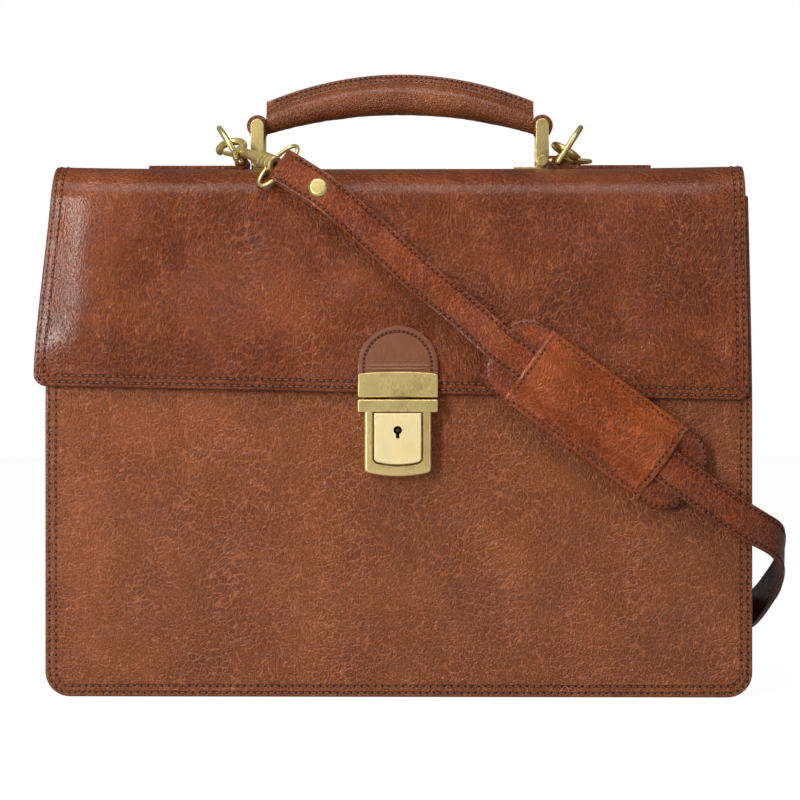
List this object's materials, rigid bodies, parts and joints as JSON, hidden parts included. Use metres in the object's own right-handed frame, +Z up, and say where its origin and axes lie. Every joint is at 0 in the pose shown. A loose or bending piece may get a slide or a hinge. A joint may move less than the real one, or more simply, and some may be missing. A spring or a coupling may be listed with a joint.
{
  "type": "briefcase",
  "caption": "Leather briefcase with two compartments, a locking front flap, a carrying handle and a padded shoulder strap.",
  "frame": {"origin": "centre of the case's flat base, on the floor", "axes": "+Z up, -Y out of the front with the lock, +X to the viewer's right"},
  "size_m": [0.4213, 0.1562, 0.36],
  "materials": {
    "case_leather": "glossy, grained, red-brown",
    "dark_leather": "dark brown, semi-gloss",
    "strap_leather": "glossy, grained, red-brown with stitched edges",
    "lining": "dark lining leather",
    "antique_brass": "antique, worn bright on the edges",
    "pale_gold": "brushed upright",
    "steel": "plain"
  },
  "bodies": {
    "root": {"front_panel": "case_leather", "back_panel": "case_leather", "base_panel": "dark_leather", "gusset_front": "dark_leather", "gusset_rear": "dark_leather", "divider": "lining", "lock_case": "antique_brass", "key_post": "steel", "lock_springs": "steel", "lock_backplate": "steel", "lock_rivets": "steel", "strap_side": "strap_leather", "strap_rear": "strap_leather", "strap_top": "strap_leather", "strap_rivet_right": "antique_brass", "strap_buckle": "antique_brass", "strap_keeper": "strap_leather"},
    "flap_body": {"flap": "case_leather", "lock_tab": "case_leather", "hasp_plate": "antique_brass", "hasp_rivets": "antique_brass", "handle_plate": "steel", "handle_saddles": "antique_brass", "saddle_rivets": "antique_brass", "ring_tab_left": "case_leather", "ring_tab_right": "case_leather", "swivel_eye_left": "antique_brass", "swivel_eye_right": "antique_brass", "strap_front": "strap_leather", "strap_rivet_left": "antique_brass", "shoulder_pad": "strap_leather", "pad_sleeve": "strap_leather"},
    "button_body": {"lock_button": "pale_gold", "lock_latch": "steel"},
    "tumbler_body": {"lock_tumbler": "steel"},
    "link_left_body": {"link_left": "antique_brass", "link_screws_left": "antique_brass"},
    "link_right_body": {"link_right": "antique_brass", "link_screws_right": "antique_brass"},
    "grip_body": {"handle_grip": "dark_leather", "grip_loops": "dark_leather"},
    "ring_left_body": {"d_ring_left": "antique_brass"},
    "ring_right_body": {"d_ring_right": "antique_brass"},
    "hook_left_body": {"hook_left": "antique_brass", "gate_pin_left": "steel"},
    "hook_right_body": {"hook_right": "antique_brass", "gate_pin_right": "steel"},
    "gate_left_body": {"gate_left": "antique_brass"},
    "gate_right_body": {"gate_right": "antique_brass"},
    "prong_body": {"buckle_prong": "antique_brass"}
  },
  "joints": [
    {"name": "flap_hinge", "type": "hinge", "parent": "root", "child": "flap_body", "pos_m": [0, 0.052, 0.30125], "axis": [-1, 0, 0], "range_deg": [0, 100], "deforming": ["strap_side", "strap_top", "strap_rivet_right"]},
    {"name": "button_slide", "type": "slide", "parent": "root", "child": "button_body", "axis": [0, 1, 0], "range_m": [0, 0.0015], "stiffness_N_per_m": 900, "springref_m": -0.001, "deforming": ["lock_springs"]},
    {"name": "tumbler_turn", "type": "hinge", "parent": "root", "child": "tumbler_body", "pos_m": [0, -0.066, 0.151], "axis": [0, 1, 0], "range_deg": [0, 90]},
    {"name": "link_left_swing", "type": "hinge", "parent": "flap_body", "child": "link_left_body", "pos_m": [-0.0835, 0, 0.308], "axis": [0, 1, 0], "range_deg": [-7, 7]},
    {"name": "grip_turn", "type": "hinge", "parent": "link_left_body", "child": "grip_body", "pos_m": [-0.0835, 0, 0.329], "axis": [0, 1, 0], "range_deg": [-7, 7]},
    {"name": "link_right_swing", "type": "hinge", "parent": "flap_body", "child": "link_right_body", "pos_m": [0.0835, 0, 0.308], "axis": [0, 1, 0], "range_deg": [-7, 7]},
    {"name": "ring_left_swing", "type": "hinge", "parent": "flap_body", "child": "ring_left_body", "pos_m": [-0.0925, -0.005, 0.3069], "axis": [0, 1, 0], "range_deg": [-3, 3]},
    {"name": "ring_right_swing", "type": "hinge", "parent": "flap_body", "child": "ring_right_body", "pos_m": [0.0925, -0.005, 0.3069], "axis": [0, 1, 0], "range_deg": [-3, 3]},
    {"name": "hook_left_swivel", "type": "hinge", "parent": "flap_body", "child": "hook_left_body", "pos_m": [-0.06503, -0.05349, 0.30021], "axis": [-0.6582, 0.6898, 0.3015], "range_deg": [-4, 4]},
    {"name": "hook_right_swivel", "type": "hinge", "parent": "flap_body", "child": "hook_right_body", "pos_m": [0.09944, 0.05892, 0.31299], "axis": [-0.03, -0.9985, 0.0459], "range_deg": [-4, 4]},
    {"name": "gate_left_press", "type": "hinge", "parent": "hook_left_body", "child": "gate_left_body", "pos_m": [-0.095, -0.02811, 0.31004], "axis": [0.1814, 0.5341, -0.8257], "range_deg": [0, 15], "stiffness_Nm_per_rad": 0.02, "springref_deg": -11.46},
    {"name": "gate_right_press", "type": "hinge", "parent": "hook_right_body", "child": "gate_right_body", "pos_m": [0.10239, 0.01855, 0.31244], "axis": [-0.501, -0.0248, -0.8651], "range_deg": [0, 15], "stiffness_Nm_per_rad": 0.02, "springref_deg": -11.46},
    {"name": "prong_lift", "type": "hinge", "parent": "root", "child": "prong_body", "pos_m": [0.1015, 0.06415, 0.22492], "axis": [-0.9982, 0, -0.0599], "range_deg": [0, 40]}
  ],
  "couplings": [
    {"joint": "grip_turn", "follows": "link_left_swing", "ratio": -1},
    {"joint": "link_right_swing", "follows": "link_left_swing", "ratio": 1}
  ]
}
